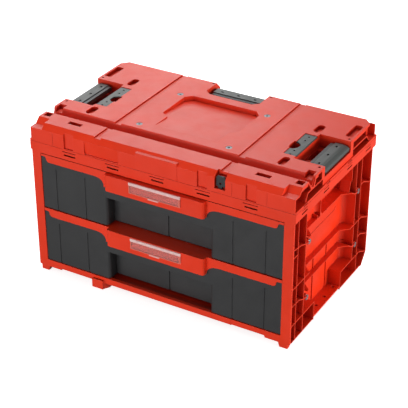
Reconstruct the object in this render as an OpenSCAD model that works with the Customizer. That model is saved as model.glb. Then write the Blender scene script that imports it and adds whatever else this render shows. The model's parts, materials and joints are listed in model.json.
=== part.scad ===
// Two-drawer portable tool box. Z up, origin at the centre of the outline on the floor.
// The front faces -Y. Shapes are drawn from the front left floor corner and moved by place().

/* [Case] */
// width of the front face
case_w = 560; // [548:1:580]
// thickness of the moulded side skin
skin_t = 2.5; // [2:0.1:3]
// thickness of the ribs on the side walls
rib_t = 1.8; // [1.4:0.1:2.4]
// height of the seam between the housing and the cover
seam_z = 286.5; // [284:0.5:288]
// depth of the shallow channels in the deck
channel_depth = 2.7; // [1.5:0.1:4]
// depth of the tray recess in the deck
tray_depth = 10; // [5:0.5:12]

/* [Drawers] */
// distance from one drawer to the next
pitch = 120.5; // [119:0.1:121]
// how far the handle lip stands forward
lip_out = 10.6; // [8:0.1:11]
// thickness of the tub walls
tub_t = 2.5; // [2:0.1:3.5]
// height of the tub walls above the tub floor
tub_h = 88; // [70:1:90]

/* [Latches] */
// length of each latch bar
bar_len = 101; // [90:1:104]
// radius of the hinge pins
pin_r = 2; // [1.6:0.1:2.4]
// radial gap between a hinge pin and its knuckle
pin_gap = 0.05; // [0.03:0.01:0.08]

/* [Lock] */
// width of the lock tab
tab_w = 18; // [16:0.5:19]

/* [Hidden] */
$fn = 48;
origin_y = 165;
cx = case_w / 2;
far_x = case_w;
deck_z = 326.5;
deck_t = 3;
rear_y = 337;
rim_out = 3;
rim_z = 268.4;
skin_x = 26.5;
bay_x = skin_x + skin_t;
front_skin_x = 16.5;
bay_front_z = 25;
bay_top_z = 265.5;
strip_x = 19.5;
rib_levels = [47, 89, 127, 206];
rail_z = 195.2;
rail_half = 10;
rail_y0 = 34;
rail_y1 = 318;
boss_y = [70, 283];
boss_out = 4;
rear_rib_y = 288.5;
// closing wall of the clipped lower rear corner, in Y and Z
rear_corner_wall = [[312, 8], [318, 8], [337, 31], [337, 36], [334.5, 36], [334.5, 32],
    [316.4, 10.5], [312, 10.5]];
tub_x = bay_x + 13;
front_z0 = 147;
band_z1 = 264;
lip_x = cx - 109.5;
lip_far = cx - 104.5;
recess_x = cx - 112;
latch_y = 172.5;
pin_x = 5.5;
pin_z = 311;
tab_x = cx + 122.5;
red = [0.86, 0.16, 0.07];
dark = [0.20, 0.20, 0.21];
grey = [0.52, 0.54, 0.54];
steel = [0.72, 0.73, 0.74];

module place() {
    translate([-case_w / 2, -origin_y, 0]) children();
}

module slab(x0, x1, y0, y1, z0, z1) {
    translate([x0, y0, z0]) cube([x1 - x0, y1 - y0, z1 - z0]);
}

// the right-hand copy of a left-hand shape
module far() {
    translate([case_w, 0, 0]) mirror([1, 0, 0]) children();
}

module pair() {
    children();
    far() children();
}

// an outline in Y and Z, drawn out from x0 to x1
module along_x(x0, x1, pts) {
    translate([x0, 0, 0]) rotate([90, 0, 90]) linear_extrude(x1 - x0) polygon(pts);
}

// an outline in X and Z, drawn out from y0 to y1
module along_y(y0, y1, pts) {
    translate([0, y1, 0]) rotate([90, 0, 0]) linear_extrude(y1 - y0) polygon(pts);
}

// an outline in X and Y, drawn up from z0 to z1
module up(z0, z1, pts) {
    translate([0, 0, z0]) linear_extrude(z1 - z0) polygon(pts);
}

// a slot in the XY plane with round ends along Y
module slot_y(x, y0, y1, w, z0, z1) {
    slab(x - w / 2, x + w / 2, y0 + w / 2, y1 - w / 2, z0, z1);
    for (y = [y0 + w / 2, y1 - w / 2]) translate([x, y, z0]) cylinder(h = z1 - z0, r = w / 2);
}

// a pocket in the XY plane with rounded corners
module soft_slot(x0, x1, y0, y1, r, z0, z1) {
    slab(x0, x1, y0 + r, y1 - r, z0, z1);
    slab(x0 + r, x1 - r, y0, y1, z0, z1);
    for (x = [x0 + r, x1 - r]) for (y = [y0 + r, y1 - r]) translate([x, y, z0])
        cylinder(h = z1 - z0, r = r);
}

// ---------- housing ----------

// a level rib whose outer edge steps back over the middle of the wall
module level_rib(z, y0, y1) {
    up(z, z + rib_t, [[skin_x, y0], [0, y0], [0, 72], [16, 88], [16, 234], [0, 249], [0, y1],
        [skin_x, y1]]);
}

// a rib that follows a line of points in Y and Z
module rib_line(x1, pts) {
    along_x(0, x1, concat(pts, [for (i = [len(pts) - 1:-1:0]) pts[i] + [0, rib_t]]));
}

// ribs that dip to a runner screw boss at each end
module dipped_rib(z, front_rise, dip) {
    level_rib(z, 68, 251);
    rib_line(front_skin_x + 1, [[4, z + front_rise], [19, z + front_rise * 0.6], [32, z + 0.5]]);
    rib_line(skin_x, [[32, z + 0.5], [51, z - dip * 0.65], [66, z - dip]]);
    rib_line(skin_x, [[249, z], [261, z - dip * 0.7], [280, z - dip]]);
    slab(0, skin_x, rear_rib_y, 303, z, z + rib_t);
}

// the ribs slope down over the last stretch to the rear corner
module rib_tail(z) {
    rib_line(skin_x, [[302, z], [328, z - 12.5], [334.5, z - 13.5]]);
}

// the hand grip is the pocket between these walls, the rim and the rib below
module grip_frame() {
    slab(16, skin_x, 142, 142 + rib_t, 216, rim_z);
    along_x(16, skin_x, [[142, 207], [152, 207], [146, 213], [143.8, 220], [142, 220]]);
    slab(4, skin_x, 253, 253 + rib_t, 230, rim_z);
    along_x(6, skin_x, [[246, 207], [248, 207], [254.8, 230], [253, 230]]);
    slab(16, skin_x, 130, 130 + rib_t, 207, 215);
}

// concave rounding where the skin meets the front face of a rib
module skin_fillet(y, r, z0, z1) {
    translate([skin_x - r, y - r, z0]) linear_extrude(z1 - z0) difference() {
        square([r + 1, r + 1]);
        circle(r);
    }
}

module ledge() {
    difference() {
        slab(0, skin_x, 98, 217, 13, 16);
        for (y = [133, 168, 207]) translate([10.5, y, 14]) cylinder(h = 4, r = 3.2);
    }
    for (y = [98, 215.2]) slab(0, skin_x, y, y + rib_t, 8, 47.5);
}

module side_body() {
    // front strip, skin and the step behind the drawer front
    slab(0, strip_x, 0, 4, 10, seam_z);
    slab(front_skin_x, front_skin_x + skin_t, 4, 29.5, 10, seam_z);
    slab(front_skin_x, bay_x, 29.5, 32, 10, seam_z);
    slab(skin_x, bay_x, 32, 334.5, 10, seam_z);
    slab(0, bay_x, 334.5, rear_y, 10, rim_z);
    // floor flange
    slab(1, front_skin_x + skin_t, 9, 29.5, 8, 10);
    slab(1, bay_x, 29.5, 98, 8, 10);
    slab(1, bay_x, 217, 314, 8, 10);
    slab(skin_x, bay_x, 98, 217, 8, 10);
    along_x(0, bay_x, rear_corner_wall);
    // rim strip
    slab(-rim_out, 0, 0, 343, rim_z, seam_z);
    slab(0, front_skin_x, 4, 29.5, rim_z, rim_z + 2.5);
    slab(0, skin_x, 29.5, 334.5, rim_z, rim_z + 2.5);
    slab(0, bay_x, 334.5, 343, rim_z, seam_z);
    // vertical ribs
    slab(0, front_skin_x, 19.3, 19.3 + rib_t, 10, rim_z);
    for (y = [50.3, rear_rib_y]) slab(0, skin_x, y, y + rib_t, 10, rim_z);
    slab(0, skin_x, 266, 266 + rib_t, 48, rim_z);
    for (z = [[48, 89], [90, 127], [128, 206]]) skin_fillet(266, 10, z[0], z[1]);
    skin_fillet(142, 10, 216, rim_z);
    // short ribs on the middle of the skin
    for (y = [141, 199]) slab(skin_x - 2, skin_x + 1, y, y + 1.6, 16, 127);
    dipped_rib(206, 4, 10);
    dipped_rib(89, 1.5, 12);
    level_rib(127, 32, 303);
    slab(0, front_skin_x + 1, 4, 32.5, 127, 127 + rib_t);
    slab(0, front_skin_x, 4, 20, 194, 194 + rib_t);
    slab(0, front_skin_x, 4, 32, 47, 47 + rib_t);
    slab(0, skin_x, 32, 98 + rib_t, 47, 47 + rib_t);
    slab(0, skin_x, 215.2, 303, 47, 47 + rib_t);
    for (z = rib_levels) rib_tail(z);
    grip_frame();
    // deep part of the hand grip, behind the skin
    slab(skin_x, 40, 142, 254.8, 206, rim_z + 2.5);
    ledge();
    // runner screw bosses
    for (y = boss_y) for (z = [rail_z, rail_z - pitch])
        translate([boss_out, y, z]) rotate([0, 90, 0]) cylinder(h = skin_x + 1 - boss_out, r = 6.5);
}

module side_wall() {
    difference() {
        side_body();
        for (y = boss_y) for (z = [rail_z, rail_z - pitch])
            translate([-1, y, z]) rotate([0, 90, 0]) {
                cylinder(h = bay_x + 2, r = 2.2);
                cylinder(h = 1 + boss_out, r = 5.6);
            }
        slab(skin_x - 0.5, 38, 143.8, 253, 206 + rib_t, rim_z);
        // outside of the clipped lower rear corner
        along_x(-5, bay_x + 1, [[318, 6], [318, 8], [337, 31], [345, 31], [345, 6]]);
        // shallow line moulded across the middle of the skin
        along_x(skin_x - 1, skin_x + 1, [[111, 192.5], [125.5, 172.4], [230, 172.4], [236, 179],
            [234.4, 180], [229.2, 174.4], [126.5, 174.4], [112.6, 193.7]]);
        // snap slots in the rim
        for (y = [34, 122, 222, 306]) slab(-4, 0.5, y - 11, y + 11, 275.2, 278);
        for (y = [34, 122, 222, 306]) slab(-4, -0.8, y - 10, y + 10, 282, 283.5);
    }
}

module side_left() color(red) side_wall();
module side_right() color(red) far() side_wall();

module foot(x0, x1, y0, y1, z1) {
    up(0, z1, [[x0, y0], [x1, y0], [x1, y1], [x0, y1]]);
}

module base_tray() color(red) difference() {
    union() {
        // front strip and its corner feet
        slab(strip_x, far_x - strip_x, 0, 4, 12.5, bay_front_z);
        pair() along_y(0, 9, [[4.5, 0], [21, 0], [24, 9.5], [52, 9.5], [52, 12.5], [19.5, 12.5],
            [19.5, 10], [4.5, 10]]);
        pair() slab(front_skin_x + skin_t, bay_x, 4, 29.5, 12.5, 21);
        // floor
        slab(bay_x, far_x - bay_x, 4, 322, 18, 21);
        slab(strip_x, far_x - strip_x, 4, 8, 21, bay_front_z);
        // runners and rear feet under the floor
        pair() for (x = [34, 150]) slab(x, x + 3, 20, 311, 10, 18);
        pair() foot(34, 62, 290, 311, 18);
        pair() foot(34, 62, 20, 40, 18);
        for (y = [60, 172, 284]) slab(37, far_x - 37, y, y + 3, 12, 18);
        // block that stands forward at the left
        slab(129, 154, -5.5, -2.5, 0, 19);
        slab(129, 132, -2.5, 16, 0, 18);
        up(0, 18, [[150, -2.5], [154, -2.5], [161, 8], [161, 16], [157, 16], [157, 9]]);
    }
    // step in the lower edge of the strip at the right, and a fine parting line
    slab(far_x - 122, far_x - 53, -1, 4.5, 12, 13.8);
    slab(436.6, 437.4, -1, 0.5, 13, bay_front_z + 1);
}

module rear_panel() color(red) {
    slab(bay_x, far_x - bay_x, 334.5, rear_y, 32, seam_z);
    along_x(bay_x, far_x - bay_x, rear_corner_wall);
    slab(bay_x, far_x - bay_x, rear_y, 343, rim_z, seam_z);
    for (i = [0:8]) slab(bay_x + 8 + i * (case_w - 2 * bay_x - 18) / 8,
        bay_x + 10 + i * (case_w - 2 * bay_x - 18) / 8, rear_y, 341, 33, rim_z);
    for (z = [47, 127, 206]) slab(bay_x, far_x - bay_x, rear_y, 340.5, z, z + rib_t);
}

module front_rail() color(red) difference() {
    union() {
        slab(strip_x, far_x - strip_x, 0, 3, bay_top_z, seam_z);
        slab(front_skin_x + skin_t, far_x - front_skin_x - skin_t, 4, 29.5, seam_z - 3, seam_z);
        slab(strip_x, far_x - strip_x, 3, 4, seam_z - 3, seam_z);
        for (i = [-2:2]) slab(cx + i * 96.7 + 22, cx + i * 96.7 + 24, 3, 29.5, 270, seam_z - 3);
    }
    for (i = [-2:2]) {
        slab(cx - 15 + i * 96.7, cx + 15 + i * 96.7, -1, 2.2, 281, 282.6);
        slab(cx - 12 + i * 96.7, cx + 14 + i * 96.7, -1, 4, 273.4, 276.4);
    }
    slab(cx + 125, cx + 135, 3.5, 9, 280, 290);
}

module mid_shelf() color(red) {
    slab(bay_x, far_x - bay_x, 34, 334.5, 141.5, 144.5);
    for (y = [36, 130, 230, 328]) slab(bay_x, far_x - bay_x, y, y + 2, 139.5, 141.5);
}

// ---------- cover ----------

cover_outline = [[0, seam_z], [0, 316], [10.5, deck_z], [52, deck_z], [63, 310.5], [71, 310.5],
    [79.5, deck_z], [327, deck_z], [341, 312.5], [341, seam_z]];
cover_inside = [[3, seam_z - 1], [3, 314.8], [11.7, deck_z - 3], [50, deck_z - 3], [61, 307.5],
    [73, 307.5], [81.5, deck_z - 3], [325.8, deck_z - 3], [338, 311.3], [338, seam_z - 1]];
tray_outline = [[cx - 67.5, 105], [cx - 67.5, 149], [cx - 83, 159], [cx - 83, 239],
    [cx - 70, 253], [cx + 70, 253], [cx + 83, 239], [cx + 83, 159], [cx + 67.5, 149],
    [cx + 67.5, 105]];

front_backing = [[2.5, seam_z], [2.5, 317], [7, 321.5], [7, seam_z]];

// walls around the wells, the pockets and the tray, below the deck
module cover_boxes() {
    pair() {
        slab(8, 66, 114.5, 231, 297, deck_z - 1);
        slab(60, 95, 124, 221, 309, deck_z - 1);
        slab(62, 84, 81, 119, 315, deck_z - 1);
        slab(62, 84, 228, 266, 315, deck_z - 1);
        slab(62, 97, 26, 42, 315, deck_z - 1);
        along_x(1, 29, [[1, 311], [1, 316.5], [10, deck_z - 1], [31, deck_z - 1], [31, 311]]);
        along_x(72, 100, front_backing);
        // closes the recess in the well's floor from below
        slab(40, 66, 164, 219, 288.5, 298);
    }
    along_x(cx - 69.5, cx + 69.5, [[272.7, 297], [272.7, 323.5], [328.2, 323.5], [340, 311.7],
        [340, 297]]);
    slab(cx - 87, cx + 87, 101, 257, deck_z - tray_depth - 3, deck_z - 1);
    along_x(cx + 115, cx + 147, [[1, seam_z], [1, 316.5], [10, deck_z - 1], [18, deck_z - 1],
        [18, seam_z]]);
    slab(118, 200, 2.5, 5.5, seam_z, 316);
    along_x(cx + 81.5, cx + 108.5, front_backing);
}

// thin-walled open cells in the ends of the cover, left side
module end_cells() {
    along_x(-4, 21, [[2.5, 291.5], [2.5, 313.5], [17.8, 313.5], [21.1, 316.2], [56.3, 316.2],
        [60.6, 310], [62, 306.3], [49.5, 306.3], [43.5, 297.5], [41, 291.5]]);
    along_x(-4, 21, [[44.5, 291.5], [46.5, 296.5], [52.2, 303.8], [110.5, 303.8], [110.5, 291.5]]);
    along_x(-4, 21, [[76.5, 306.3], [80.4, 315.2], [96, 315.2], [96, 322.2], [105.8, 322.2],
        [105.8, 306.3]]);
    along_x(-4, 21, [[240, 306.3], [240, 316.2], [304.5, 316.2], [304.5, 322.2], [326, 322.2],
        [326, 291.5], [315, 291.5], [301.5, 306.3]]);
    along_x(-4, 21, [[240, 291.5], [240, 303.8], [301.2, 303.8], [312.4, 291.5]]);
    // shallow where a pocket of the deck lies behind
    along_x(-4, 2.4, [[21.1, 316], [28.6, 322.3], [51.9, 322.3], [56.3, 316]]);
    along_x(-4, 2.4, [[80.4, 315], [83.5, 322.2], [96.5, 322.2], [96.5, 315]]);
    slab(-4, 2.3, 240, 305, 316, 322.2);
    // open step behind the deck's clipped rear corner
    up(291.5, deck_z + 1, [[-4, 313], [0, 313], [13, 327], [13, 338], [-4, 338]]);
}

module cover_cuts() {
    pair() {
        // latch well, its open outer side and the catch plate seat
        slab(11, 63, 117.5, 228, 300, deck_z + 1);
        slab(-4, 12, 117.5, 228, 305, deck_z + 1);
        slab(60, 88.5, 126.5, 218, 322.3, deck_z + 1);
        slab(74, 92, 153, 179, 312, deck_z + 1);
        up(290.5, 301, [[44, 173], [60, 168], [62, 186], [60, 212], [48, 216]]);
        slot_y(73.3, 84, 116, 15.5, deck_z - 8, deck_z + 1);
        slot_y(73.3, 231, 263, 15.5, deck_z - 8, deck_z + 1);
        soft_slot(4.6, 20.4, 245, 296, 4, deck_z - 8, deck_z + 1);
        slab(65, 94, 29, 39.5, deck_z - 8, deck_z + 1);
        slab(4.8, 19, 36, 50, deck_z - 8, deck_z + 1);
        slab(4.8, 20, 66, 93, 317.5, deck_z + 1);
        along_x(-4, 26, [[-1, 316], [17, 316], [29, deck_z + 0.2], [29, 340], [-1, 340]]);
        slab(140, 153.6, -1, 345, deck_z - channel_depth, deck_z + 1);
        for (p = [[7.5, 109.6], [7.5, 236.2], [215.2, 323]])
            translate([p[0], p[1], deck_z - 5]) cylinder(h = 6, r = 2.7);
        end_cells();
        // end profile of the groove
        along_x(-4, 2.5, [[54, deck_z + 1], [66, 310], [72, 307.2], [77, 317], [79, deck_z + 1]]);
        // hinge pin holes
        translate([pin_x, 112, pin_z]) rotate([-90, 0, 0]) cylinder(h = 122, r = pin_r);
        // recessed front panels
        slab(75.5, 96.5, -1, 3.6, 288.5, 321);
        // slots in the flange above the seam
        for (p = [[29, 45], [122, 137], [212, 230]]) slab(-4, -0.8, p[0], p[1], 288.2, 290.2);
    }
    // the groove runs from side to side
    along_x(-4, far_x + 4, [[52, deck_z + 1], [52, deck_z], [63, 310.5], [71, 310.5],
        [79.5, deck_z], [79.5, deck_z + 1]]);
    // the tray floor rises to the deck at its front edge
    intersection() {
        up(deck_z - tray_depth, deck_z + 1, tray_outline);
        along_x(cx - 90, cx + 90, [[104, deck_z], [104, deck_z + 1], [254, deck_z + 1],
            [254, deck_z - tray_depth]]);
    }
    // rear latch well
    up(300, deck_z + 1, [[cx - 59.5, 286.5], [cx - 47, 275.5], [cx + 47, 275.5],
        [cx + 59.5, 286.5], [cx + 59.5, 338], [cx - 59.5, 338]]);
    slab(cx - 59.5, cx + 59.5, 330, 345, 305, deck_z + 1);
    translate([cx - 63.2, 330 - pin_x, pin_z]) rotate([0, 90, 0]) cylinder(h = 126.4, r = pin_r);
    // cover screw holes
    for (sx = [-1, 1]) for (y = [96, 246.7])
        translate([cx + sx * 96.5, y, deck_z - 12]) {
            cylinder(h = 13, r = 2.1);
            translate([0, 0, 8.5]) cylinder(h = 5, r = 6.4);
        }
    // lock slot with its finger notch
    slab(cx + 120.7, cx + 142.6, -1, 8.5, 295.3, deck_z + 1);
    slab(cx + 120.7, cx + 142.6, 8, 15.5, 316, deck_z + 1);
    slab(cx + 125, cx + 135, 3.5, 8.5, 280, 296);
    // front pad without any mark, channel and fine upright lines
    along_x(122, 197, [[-1, 289], [3, 289], [3, 291], [0.4, 315.6], [-1, 315.6]]);
    slab(cx + 84.8, cx + 104.8, -1, 3.6, 288.5, 321);
    for (x = [50, 436, 505.8]) slab(x - 0.3, x + 0.3, -1, 0.5, 289, 314);
}

module top_cover() color(red) difference() {
    union() {
        difference() {
            along_x(0, far_x, cover_outline);
            along_x(24, far_x - 24, cover_inside);
        }
        pair() slab(-rim_out, 12, 0, 343, seam_z, 291.5);
        slab(0, far_x, 338, 343, seam_z, 291.5);
        cover_boxes();
        for (sx = [-1, 1]) for (y = [96, 246.7])
            translate([cx + sx * 96.5, y, seam_z + 2]) cylinder(h = 38, r = 9);
        // raised centre plate, bare
        slab(cx - 44.5, cx + 43.5, -0.8, 8, 288, 322.5);
    }
    cover_cuts();
    // the seam shows as a fine shadow gap
    slab(-4, far_x + 4, -1, 0.7, seam_z - 1, seam_z + 0.7);
    pair() slab(-4, -2.3, -1, 345, seam_z - 1, seam_z + 0.7);
    slab(-4, far_x + 4, 342.3, 345, seam_z - 1, seam_z + 0.7);
}

module cover_screws() color(grey) for (sx = [-1, 1]) for (y = [96, 246.7])
    translate([cx + sx * 96.5, y, deck_z - 12]) difference() {
        union() {
            cylinder(h = 9, r = 2);
            translate([0, 0, 8.5]) cylinder(h = 3, r = 6.2);
        }
        translate([0, 0, 9.5]) cylinder(h = 3, r = 2.6, $fn = 6);
    }

module catch_plate() difference() {
    slab(64, 88, 127, 217.5, 322.3, 325.3);
    up(321, 327, [[89, 151], [89, 181], [82, 179], [75, 172], [75, 160], [82, 153]]);
    for (y = [131, 146.6, 191.4, 207.4]) translate([76, y, 321]) cylinder(h = 6, r = 2);
}

module catch_plate_left() color(grey) catch_plate();
module catch_plate_right() color(grey) far() catch_plate();

module latch_pins() color(steel) {
    pair() translate([pin_x, 115, pin_z]) rotate([-90, 0, 0]) cylinder(h = 115.5, r = pin_r);
    translate([cx - 62.5, 330 - pin_x, pin_z]) rotate([0, 90, 0]) cylinder(h = 125, r = pin_r);
}

// ---------- latches ----------

// drawn for the left side: hinge at the outer edge, hooking edge towards the middle
// its washers reach out to the walls of the well
module bar_shape(long, reach) difference() {
    union() {
        along_y(-long / 2, long / 2, [[1.2, 312.8], [2.2, 315.2], [4.5, 317.2], [8.5, 318.8],
            [14, 319.5], [29, 319.5], [29, 316.6], [37, 316.6], [37, 310], [34, 310], [34, 313.6],
            [26, 313.6], [25, 316], [13, 316], [9, 309]]);
        translate([pin_x, -long / 2, pin_z]) rotate([-90, 0, 0]) cylinder(h = long, r = 4.5);
        for (y = [-reach, long / 2]) translate([pin_x, y, pin_z]) rotate([-90, 0, 0])
            cylinder(h = reach - long / 2, r = 3.6);
    }
    translate([pin_x, -65, pin_z]) rotate([-90, 0, 0]) cylinder(h = 130, r = pin_r + pin_gap);
    for (y = [-37, 0, 37]) slab(18.5, 22.5, y - 3, y + 3, 315, 321);
}

module strip_shape(long) slab(29, 37, -long / 2 + 3, long / 2 - 3, 316.6, 318);

module at_left() translate([0, latch_y, 0]) children();
module at_rear() translate([cx, 330, 0]) rotate([0, 0, -90]) children();

module latch_left_bar() color(grey) at_left() bar_shape(bar_len, 54.6);
module latch_left_strip() color(dark) at_left() strip_shape(bar_len);
module latch_right_bar() color(grey) far() at_left() bar_shape(bar_len, 54.6);
module latch_right_strip() color(dark) far() at_left() strip_shape(bar_len);
module latch_rear_bar() color(grey) at_rear() bar_shape(bar_len + 5, 59);
module latch_rear_strip() color(dark) at_rear() strip_shape(bar_len + 5);

// ---------- lock ----------

module lock_slider() color(dark) difference() {
    union() {
        slab(tab_x, tab_x + tab_w, 4, 7, 299.2, 315.3);
        slab(tab_x + 4, tab_x + tab_w - 4, 4, 7, 299.2, 319.3);
        for (x = [tab_x + 4, tab_x + tab_w - 4]) translate([x, 7, 315.3]) rotate([90, 0, 0])
            cylinder(h = 3, r = 4);
        // bolt that drops into the slot in the drawer's top
        slab(cx + 126, cx + 134, 4, 7, 264.6, 300);
    }
    translate([cx + 130.5, 8, 304.5]) rotate([90, 0, 0]) cylinder(h = 5, r = 2.2);
}

// ---------- runners ----------

// a channel with its web at x0, flanges towards +X or -X
module channel(web0, web1, flange0, flange1, half, y0, y1, z) {
    slab(web0, web1, y0, y1, z - half, z + half);
    slab(flange0, flange1, y0, y1, z + half - 1.2, z + half);
    slab(flange0, flange1, y0, y1, z - half, z - half + 1.2);
}

module outer_rail(z) difference() {
    channel(bay_x, bay_x + 1.2, bay_x + 1.2, bay_x + 9, rail_half, rail_y0, rail_y1, z);
    for (y = boss_y) translate([bay_x - 1, y, z]) rotate([0, 90, 0]) cylinder(h = 3, r = 2.2);
}

module middle_rail(z) channel(bay_x + 2.8, bay_x + 4, bay_x + 4, bay_x + 9.5, 7.5, rail_y0,
    rail_y1, z);

module inner_rail(z) difference() {
    channel(bay_x + 11.8, bay_x + 13, bay_x + 5.4, bay_x + 11.8, 5, rail_y0, rail_y1, z);
    for (y = [60, 290]) translate([bay_x + 11, y, z]) rotate([0, 90, 0]) cylinder(h = 3, r = 1.6);
}

module rail_screw(z) for (y = [60, 290]) translate([bay_x + 10, y, z]) rotate([0, 90, 0]) {
    cylinder(h = 1.8, r = 3.2);
    cylinder(h = 3 + tub_t, r = 1.5);
}

module runner_screws() for (y = boss_y) for (z = [rail_z, rail_z - pitch])
    translate([1.4, y, z]) rotate([0, 90, 0]) difference() {
        union() {
            cylinder(h = boss_out - 1.4, r = 5.2);
            cylinder(h = bay_x - 0.2, r = 2);
        }
        translate([0, 0, -1]) cylinder(h = 3.2, r = 2.2, $fn = 6);
    }

module rails_left() color(steel) for (z = [rail_z, rail_z - pitch]) outer_rail(z);
module rails_right() color(steel) far() for (z = [rail_z, rail_z - pitch]) outer_rail(z);
module runner_screws_left() color(steel) runner_screws();
module runner_screws_right() color(steel) far() runner_screws();
module runner_upper_left() color(steel) middle_rail(rail_z);
module runner_upper_right() color(steel) far() middle_rail(rail_z);
module runner_lower_left() color(steel) middle_rail(rail_z - pitch);
module runner_lower_right() color(steel) far() middle_rail(rail_z - pitch);

// ---------- drawers, drawn in the upper place ----------

end_line = [[142, 248.5], [38, 248.5], [34.5, 249.6], [32.5, 252], [30.5, 258.3], [29, 259.5],
    [20, 259.5]];
// lower edge of the band at its left and, mirrored, at its right end
left_line = concat([[lip_x, 231], [162.5, 231], [162.5, 235.5], [161, 240], [158, 243.6],
    [153.5, 246.3], [148, 247.8]], end_line);
right_line = concat([[lip_far, 231], [lip_far - 0.8, 235.5], [lip_far - 3, 239.2],
    [lip_far - 6, 242.4], [lip_far - 10, 245], [lip_far - 15, 247], [lip_far - 24, 248.2]],
    end_line);

// front of a drawer from y0 to y1, with its edges at the given heights in the middle
module front_plate(y0, y1, z0) {
    along_y(y0, y1, concat([[20, z0], [cx, z0], [cx, 261], [lip_x, 261]], left_line));
    far() along_y(y0, y1, concat([[20, z0], [cx, z0], [cx, 261], [lip_far, 261]], right_line));
}

module tub_front() difference() {
    union() {
        front_plate(1.5, 4.5, front_z0);
        pair() slab(20, 22.5, 4.5, 26, front_z0, 259.5);
        pair() slab(22.5, recess_x - tub_t, 4.5, 26, front_z0, front_z0 + 2.5);
        pair() slab(recess_x - tub_t, recess_x, 4.5, 26, front_z0, 247);
        slab(20, far_x - 20, 26, 26 + tub_t, front_z0, 247);
        slab(recess_x - tub_t, far_x - recess_x + tub_t, 26, 26 + tub_t, 247, 261);
        // rounded corners at the sides of the hand recess
        pair() translate([recess_x - 7, 8.5, front_z0]) linear_extrude(83) intersection() {
            difference() {
                circle(7);
                circle(7 - tub_t);
            }
            translate([0, -7]) square(7);
        }
    }
    // hand recess, open below
    slab(recess_x, far_x - recess_x, 1, 26, front_z0 - 1, 208);
    pair() translate([recess_x - 7, 8.5, front_z0 - 1]) linear_extrude(209 - front_z0) difference() {
        translate([0, -8]) square(8);
        circle(7);
    }
    // upright grooves
    for (x = [51.8, 118.3]) pair() slab(x, x + 3.6, 1, 2.6, front_z0 - 1, 237);
    slab(cx + 7.8, cx + 11.8, 25, 27.6, front_z0 - 1, 193.5);
}

module tub_box() {
    z0 = front_z0 + 3;
    difference() {
        slab(tub_x, far_x - tub_x, 26 + tub_t, 318, z0, z0 + 2.5 + tub_h);
        slab(tub_x + tub_t, far_x - tub_x - tub_t, 28.5 + tub_t, 318 - tub_t, z0 + 2.5,
            z0 + tub_h + 10);
        pair() for (y = [60, 290]) translate([tub_x - 1, y, rail_z]) rotate([0, 90, 0])
            cylinder(h = tub_t + 2, r = 1.6);
    }
}

module drawer_tub() {
    tub_front();
    tub_box();
}

// plan of the forward lip with its rounded corners, or of the hollow inside it
module lip_plan(inset, y_end) {
    r = 6 - inset;
    x0 = lip_x + inset;
    x1 = far_x - lip_far - inset;
    y0 = inset - lip_out;
    translate([x0 + r, y0]) square([x1 - x0 - 2 * r, y_end - y0]);
    translate([x0, y0 + r]) square([x1 - x0, y_end - y0 - r]);
    for (x = [x0 + r, x1 - r]) translate([x, y0 + r]) circle(r);
}

module drawer_band(top) difference() {
    union() {
        along_y(0, 3, concat([[20, 261], [lip_x, 261]], left_line));
        far() along_y(0, 3, concat([[20, 261], [lip_far, 261]], right_line));
        slab(20, far_x - 20, 0, 28.5, 261, top);
        // lip, hollow from below
        difference() {
            translate([0, 0, 230]) linear_extrude(top - 230) lip_plan(0, 1.5);
            translate([0, 0, 229]) linear_extrude(32) lip_plan(3, 2);
        }
    }
    // slot for the lock's bolt and small marks on the top
    slab(cx + 124.5, cx + 135.5, 3.4, 8.6, 260, top + 1);
    for (x = [[-58, -50], [-46, -39], [42, 56]])
        slab(cx + x[0], cx + x[1], 23.8, 25.8, top - 1, top + 1);
}

// top strip of the label holder, with the thin frame and finger tab below it
module label_strip(top) difference() {
    union() {
        slab(cx - 53.7, cx + 56.5, -13, -lip_out, top - 6.2, top);
        difference() {
            slab(cx - 53.7, cx + 56.5, -12.6, -lip_out, top - 22.5, top - 5.5);
            slab(cx - 51.5, cx + 52.5, -13, -lip_out + 1, top - 21, top - 6.2);
        }
        slab(cx - 12, cx + 10, -13, -lip_out, top - 24.8, top - 22.3);
    }
    for (x = [cx - 42, cx + 42]) translate([x, -12, top - 3]) rotate([90, 0, 0])
        cylinder(h = 2, r = 1);
}

// clear window of the label holder
module label_cover(top) slab(cx - 51.5, cx + 52.5, -11.9, -11.1, top - 21,
    top - 6.2);

module inner_rails() pair() inner_rail(rail_z);
module rail_screws() pair() rail_screw(rail_z);
module lowered() translate([0, 0, -pitch]) children();

module upper_tub() color(dark) drawer_tub();
module upper_band() color(red) drawer_band(band_z1);
module upper_label_strip() color([0.93, 0.93, 0.92]) label_strip(band_z1);
module upper_label_cover() color([0.9, 0.92, 0.93, 0.4]) label_cover(band_z1);
module upper_inner_rails() color(steel) inner_rails();
module upper_rail_screws() color(steel) rail_screws();
module lower_tub() color(dark) lowered() drawer_tub();
module lower_band() color(red) lowered() drawer_band(band_z1 + 1.5);
module lower_label_strip() color([0.93, 0.93, 0.92]) lowered() label_strip(band_z1);
module lower_label_cover() color([0.9, 0.92, 0.93, 0.4]) lowered() label_cover(band_z1);
module lower_inner_rails() color(steel) lowered() inner_rails();
module lower_rail_screws() color(steel) lowered() rail_screws();

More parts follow.
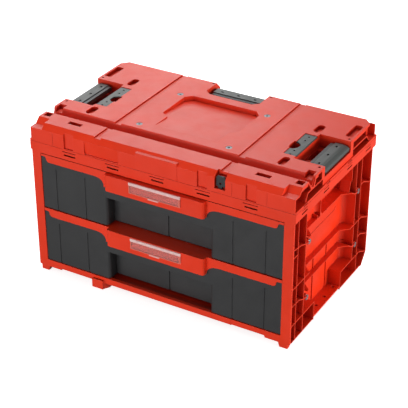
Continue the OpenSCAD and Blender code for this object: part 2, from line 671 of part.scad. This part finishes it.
place() base_tray();
place() side_left();
place() side_right();
place() rear_panel();
place() front_rail();
place() mid_shelf();
place() top_cover();
place() cover_screws();
place() catch_plate_left();
place() catch_plate_right();
place() latch_pins();
place() rails_left();
place() rails_right();
place() runner_screws_left();
place() runner_screws_right();
place() runner_upper_left();
place() runner_upper_right();
place() runner_lower_left();
place() runner_lower_right();
place() latch_left_bar();
place() latch_left_strip();
place() latch_right_bar();
place() latch_right_strip();
place() latch_rear_bar();
place() latch_rear_strip();
place() lock_slider();
place() upper_tub();
place() upper_band();
place() upper_label_strip();
place() upper_label_cover();
place() upper_inner_rails();
place() upper_rail_screws();
place() lower_tub();
place() lower_band();
place() lower_label_strip();
place() lower_label_cover();
place() lower_inner_rails();
place() lower_rail_screws();
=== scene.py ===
import json
import math

import bpy
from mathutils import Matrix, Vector

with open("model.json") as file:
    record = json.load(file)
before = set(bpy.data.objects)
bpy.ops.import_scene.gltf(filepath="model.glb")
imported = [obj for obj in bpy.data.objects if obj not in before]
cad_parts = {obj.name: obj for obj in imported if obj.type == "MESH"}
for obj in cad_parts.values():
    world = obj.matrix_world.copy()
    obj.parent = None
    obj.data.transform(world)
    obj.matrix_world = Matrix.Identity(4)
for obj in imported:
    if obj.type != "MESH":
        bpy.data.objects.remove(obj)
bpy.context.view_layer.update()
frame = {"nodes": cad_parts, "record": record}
NODES = frame["nodes"]

WHITE = (1, 1, 1, 1)

# The camera as solved from the photo: azimuth 30, looking down by 30 degrees.
LENS_MM = 116.30
SENSOR_MM = 36.0
CAMERA_PLACE = (1.12239, -1.93648, 1.43735)
CAMERA_TILT_DEG = 60
CAMERA_TURN_DEG = 30
VIEW_REACH = 50

# Each lamp: name, place, point it faces, width and height in metres, power in watts.
LAMPS = [
    ("front", (-0.6, -3.0, 0.45), (0, 0, 0.16), (3.0, 0.9), 60),
    ("right", (3.0, 0.45, 0.5), (0, 0, 0.16), (2.0, 0.9), 86),
    ("top", (-0.8, 0.9, 2.4), (0, 0, 0.3), (1.6, 1.6), 36),
    ("sheen", (-2.0, 2.6, 1.7), (-1.0, 0, 0.6), (1.8, 1.6), 20),
]

# The surround's strength level with the object, and from this height of the view ray upwards.
SURROUND_LEVEL = 0.50
SURROUND_HIGH = 0.14
SURROUND_HIGH_FROM = 0.7

# The floor gives some light of its own, so that it shows as white as the photo's background.
FLOOR_HALF = 30.0
FLOOR_COLOUR = (0.92, 0.92, 0.92, 1)
FLOOR_ROUGHNESS = 0.9
FLOOR_GLOW = 0.78

# Shading shared by the materials. Lengths are in metres.
BEVEL_SAMPLES = 6
# Ambient occlusion that paints shade into the colour of corners and deep pockets.
HOLLOW_SAMPLES = 8
HOLLOW_REACH = 0.06
HOLLOW_RANGE = (0.15, 0.6)
SHARP_EDGE_RANGE = (0.98, 0.75)
PLASTIC_EDGE = 0.0005
# Reach of the paler edges, which are partly rubbed wear and partly a painted highlight.
PLASTIC_WEAR_AND_HIGHLIGHT_REACH = 0.0007
PLASTIC_GRAIN_DEPTH = 0.00012
# Amount and paleness of the edges' wear and painted highlight.
PLASTIC_WEAR_AND_HIGHLIGHT = 0.5
PLASTIC_WEAR_AND_HIGHLIGHT_PALER = 0.12
PLASTIC_CLOUDING = 0.06
METAL_EDGE = 0.0003
METAL_GRAIN_STRETCH = (1.0, 0.03, 1.0)
FILM_EDGE = 0.0003
WINDOW_EDGE = 0.0004
FINE_BUMP = 0.0001
HAZE_BUMP = 0.0002

# Most noise values lie in here.
NOISE_RANGE = (0.3, 0.7)
FULL_RANGE = (0.0, 1.0)


# ---------- camera and light ----------


def add_camera():
    data = bpy.data.cameras.new("camera")
    data.lens = LENS_MM
    data.sensor_width = SENSOR_MM
    data.clip_end = VIEW_REACH
    cam = bpy.data.objects.new("camera", data)
    cam.location = CAMERA_PLACE
    cam.rotation_euler = (math.radians(CAMERA_TILT_DEG), 0, math.radians(CAMERA_TURN_DEG))
    bpy.context.scene.collection.objects.link(cam)
    bpy.context.scene.camera = cam


def area_light(name, place, target, size, power):
    data = bpy.data.lights.new(name, "AREA")
    data.shape = "RECTANGLE"
    data.size, data.size_y = size
    data.energy = power
    lamp = bpy.data.objects.new(name, data)
    lamp.location = place
    lamp.rotation_euler = (Vector(target) - Vector(place)).to_track_quat("-Z", "Y").to_euler()
    bpy.context.scene.collection.objects.link(lamp)


def set_range(node, start, end):
    """Set a Map Range node to turn the range start into the range end."""
    for key, number in zip(("From Min", "From Max", "To Min", "To Max"), (*start, *end)):
        node.inputs[key].default_value = number


def add_world():
    """Soft surround, brightest level with the object, dim overhead and below."""
    world = bpy.data.worlds.new("studio")
    world.use_nodes = True
    tree = world.node_tree
    back = tree.nodes["Background"]
    back.inputs["Color"].default_value = WHITE
    coords = tree.nodes.new("ShaderNodeTexCoord")
    split = tree.nodes.new("ShaderNodeSeparateXYZ")
    height = tree.nodes.new("ShaderNodeMath")
    height.operation = "ABSOLUTE"
    fall = tree.nodes.new("ShaderNodeMapRange")
    fall.interpolation_type = "SMOOTHSTEP"
    set_range(fall, (0.0, SURROUND_HIGH_FROM), (SURROUND_LEVEL, SURROUND_HIGH))
    tree.links.new(coords.outputs["Generated"], split.inputs["Vector"])
    tree.links.new(split.outputs["Z"], height.inputs[0])
    tree.links.new(height.outputs["Value"], fall.inputs["Value"])
    tree.links.new(fall.outputs["Result"], back.inputs["Strength"])
    bpy.context.scene.world = world


def add_floor():
    mesh = bpy.data.meshes.new("floor")
    s = FLOOR_HALF
    mesh.from_pydata([(-s, -s, 0), (s, -s, 0), (s, s, 0), (-s, s, 0)], [], [(0, 1, 2, 3)])
    floor = bpy.data.objects.new("floor", mesh)
    bpy.context.scene.collection.objects.link(floor)
    mat = bpy.data.materials.new("floor")
    mat.use_nodes = True
    bsdf = mat.node_tree.nodes["Principled BSDF"]
    bsdf.inputs["Base Color"].default_value = FLOOR_COLOUR
    bsdf.inputs["Roughness"].default_value = FLOOR_ROUGHNESS
    bsdf.inputs["Emission Color"].default_value = WHITE
    bsdf.inputs["Emission Strength"].default_value = FLOOR_GLOW
    mesh.materials.append(mat)
    floor.visible_diffuse = False
    floor.visible_glossy = False


# ---------- materials ----------


class Shader:
    """A material's node tree, with short calls for the nodes used here."""

    def __init__(self, name):
        self.mat = bpy.data.materials.new(name)
        self.mat.use_nodes = True
        self.tree = self.mat.node_tree
        self.bsdf = self.tree.nodes["Principled BSDF"]
        self.coords = self.tree.nodes.new("ShaderNodeTexCoord").outputs

    def node(self, kind, **values):
        made = self.tree.nodes.new(kind)
        for key, value in values.items():
            if key in made.inputs:
                made.inputs[key].default_value = value
            else:
                setattr(made, key, value)
        return made

    def link(self, a, b):
        self.tree.links.new(a, b)

    def finish(self, **sockets):
        """Link the colour, roughness and normal to the surface, and return the material."""
        for key, socket in sockets.items():
            self.link(socket, self.bsdf.inputs[key.replace("_", " ")])
        return self.mat

    def noise(self, scale, detail, rough, stretch=None):
        tex = self.node("ShaderNodeTexNoise", Scale=scale, Detail=detail, Roughness=rough)
        source = self.coords["Object"]
        if stretch:
            mapping = self.node("ShaderNodeMapping", Scale=stretch)
            self.link(source, mapping.inputs["Vector"])
            source = mapping.outputs["Vector"]
        self.link(source, tex.inputs["Vector"])
        return tex.outputs["Fac"]

    def remap(self, value, start, end):
        node = self.node("ShaderNodeMapRange")
        set_range(node, start, end)
        self.link(value, node.inputs["Value"])
        return node.outputs["Result"]

    def math(self, kind, a, b):
        node = self.node("ShaderNodeMath", operation=kind)
        for slot, value in enumerate((a, b)):
            if isinstance(value, float):
                node.inputs[slot].default_value = value
            else:
                self.link(value, node.inputs[slot])
        return node.outputs["Value"]

    def mix(self, fac, a, b):
        """Colour a where fac is zero and b where it is one. Sockets 6 and 7 are the colours."""
        node = self.node("ShaderNodeMix", data_type="RGBA")
        self.link(fac, node.inputs[0])
        for slot, value in ((6, a), (7, b)):
            if isinstance(value, tuple):
                node.inputs[slot].default_value = (*value, 1)
            else:
                self.link(value, node.inputs[slot])
        return node.outputs[2]

    def rounded(self, radius):
        """Normals as if every edge had this radius."""
        return self.node("ShaderNodeBevel", samples=BEVEL_SAMPLES, Radius=radius).outputs["Normal"]

    def edges(self, radius):
        """High on sharp edges, zero on flat faces."""
        geometry = self.node("ShaderNodeNewGeometry")
        dot = self.node("ShaderNodeVectorMath", operation="DOT_PRODUCT")
        self.link(self.rounded(radius), dot.inputs[0])
        self.link(geometry.outputs["True Normal"], dot.inputs[1])
        return self.remap(dot.outputs["Value"], SHARP_EDGE_RANGE, FULL_RANGE)

    def painted_shade_mask(self):
        """Mask for painted shade: one on open faces, falling to zero in corners and deep pockets."""
        node = self.node("ShaderNodeAmbientOcclusion", samples=HOLLOW_SAMPLES, Distance=HOLLOW_REACH)
        return self.remap(node.outputs["AO"], HOLLOW_RANGE, FULL_RANGE)

    def bump(self, height, strength, distance, radius):
        """Relief of the given depth on normals with rounded edges."""
        node = self.node("ShaderNodeBump", Strength=strength, Distance=distance)
        self.link(height, node.inputs["Height"])
        self.link(self.rounded(radius), node.inputs["Normal"])
        return node.outputs["Normal"]


def scaled(colour, factor):
    return tuple(c * factor for c in colour)


def plastic(name, colour, rough, grain, painted_shade=None):
    """Moulded plastic: fine spark-eroded grain, faint flow clouding, edges paler from rubbed wear
    and a painted highlight.
    Where the painted shade colour is given, the colour turns to it in corners and deep pockets as
    painted shade."""
    s = Shader(name)
    low, high = scaled(colour, 1 - PLASTIC_CLOUDING), scaled(colour, 1 + PLASTIC_CLOUDING)
    tone = s.mix(s.remap(s.noise(9.0, 4.0, 0.55), NOISE_RANGE, FULL_RANGE), low, high)
    # Painted shade: the colour darkens in corners and deep pockets.
    if painted_shade is not None:
        tone = s.mix(s.painted_shade_mask(), painted_shade, tone)
    # Edges mixed paler in patches: partly rubbed wear, partly a painted highlight on rib and rim
    # edges.
    wear_and_highlight_patches = s.remap(s.noise(55.0, 6.0, 0.7), (0.45, 0.75), FULL_RANGE)
    wear_and_highlight = s.math("MULTIPLY", s.edges(PLASTIC_WEAR_AND_HIGHLIGHT_REACH), s.math("MULTIPLY", wear_and_highlight_patches, PLASTIC_WEAR_AND_HIGHLIGHT))
    worn_and_highlit = tuple(c + (1 - c) * PLASTIC_WEAR_AND_HIGHLIGHT_PALER for c in colour)
    fine = s.noise(2600.0, 2.0, 0.6)
    patch = s.noise(38.0, 3.0, 0.6)
    gloss = s.math("ADD", s.remap(patch, NOISE_RANGE, (rough - 0.05, rough + 0.06)),
                   s.remap(fine, NOISE_RANGE, (-0.03, 0.03)))
    return s.finish(Base_Color=s.mix(wear_and_highlight, tone, worn_and_highlit), Roughness=gloss,
                    Normal=s.bump(fine, grain, PLASTIC_GRAIN_DEPTH, PLASTIC_EDGE))


def metal(name, colour, rough):
    """Rolled and plated steel with a drawn grain."""
    s = Shader(name)
    s.bsdf.inputs["Metallic"].default_value = 1.0
    grain = s.noise(900.0, 3.0, 0.6, METAL_GRAIN_STRETCH)
    blotch = s.remap(s.noise(28.0, 4.0, 0.6), NOISE_RANGE, FULL_RANGE)
    return s.finish(Base_Color=s.mix(blotch, scaled(colour, 0.88), scaled(colour, 1.06)),
                    Roughness=s.remap(grain, (0.2, 0.8), (rough - 0.08, rough + 0.12)),
                    Normal=s.bump(grain, 0.2, FINE_BUMP, METAL_EDGE))


def milky(name):
    """Label holder in thin milky plastic: whiter along its thick top strip and its foot.
    Between them the red behind shows through."""
    s = Shader(name)
    split = s.node("ShaderNodeSeparateXYZ")
    s.link(s.coords["Generated"], split.inputs["Vector"])
    height = split.outputs["Z"]
    strip = s.remap(height, (0.74, 0.80), FULL_RANGE)
    foot = s.remap(height, (0.11, 0.08), (0.0, 0.8))
    streaks = s.remap(s.noise(160.0, 3.0, 0.6), (0.35, 0.65), (0.7, 1.0))
    thick = s.math("MULTIPLY", s.math("MAXIMUM", strip, foot), streaks)
    return s.finish(Base_Color=s.mix(thick, (0.70, 0.16, 0.12), (0.82, 0.60, 0.58)),
                    Roughness=s.remap(s.noise(60.0, 4.0, 0.6), NOISE_RANGE, (0.24, 0.36)),
                    Normal=s.bump(s.noise(900.0, 2.0, 0.6), 0.2, FINE_BUMP, FILM_EDGE))


def clear(name):
    """Thin clear window with a haze, tinted by the red behind it."""
    s = Shader(name)
    s.bsdf.inputs["Base Color"].default_value = (0.93, 0.42, 0.38, 1)
    s.bsdf.inputs["Transmission Weight"].default_value = 0.72
    s.bsdf.inputs["IOR"].default_value = 1.2
    haze = s.noise(60.0, 4.0, 0.6)
    return s.finish(Roughness=s.remap(haze, NOISE_RANGE, (0.05, 0.14)),
                    Normal=s.bump(haze, 0.05, HAZE_BUMP, WINDOW_EDGE))


def make_materials():
    """One material for each slot of the record, and zinc for the runner screws."""
    return {
        # The second colour given to the red and drawer plastics is painted shade for corners and
        # pockets.
        "red_plastic": plastic("red_plastic", (0.80, 0.032, 0.003), 0.40, 0.25,
                               painted_shade=(0.40, 0.009, 0.001)),
        "drawer_plastic": plastic("drawer_plastic", (0.030, 0.030, 0.031), 0.46, 0.35,
                                  painted_shade=(0.012, 0.012, 0.013)),
        "dark_plastic": plastic("dark_plastic", (0.028, 0.028, 0.030), 0.42, 0.3),
        "grey_plastic": plastic("grey_plastic", (0.060, 0.066, 0.062), 0.40, 0.3),
        "grey_metal": metal("grey_metal", (0.22, 0.225, 0.23), 0.34),
        "steel": metal("steel", (0.62, 0.63, 0.64), 0.32),
        "zinc": metal("zinc", (0.72, 0.72, 0.74), 0.30),
        "milky_plastic": milky("milky_plastic"),
        "clear_plastic": clear("clear_plastic"),
    }


def dress_nodes(mats):
    slots = {part["node"]: part["material_slot"] for part in frame["record"]["subparts"]}
    for name, node in NODES.items():
        node.data.materials.clear()
        node.data.materials.append(mats["zinc" if "runner_screws" in name else slots[name]])


add_camera()
add_world()
for lamp_facts in LAMPS:
    area_light(*lamp_facts)
add_floor()
bpy.context.scene.view_settings.view_transform = "Standard"
dress_nodes(make_materials())
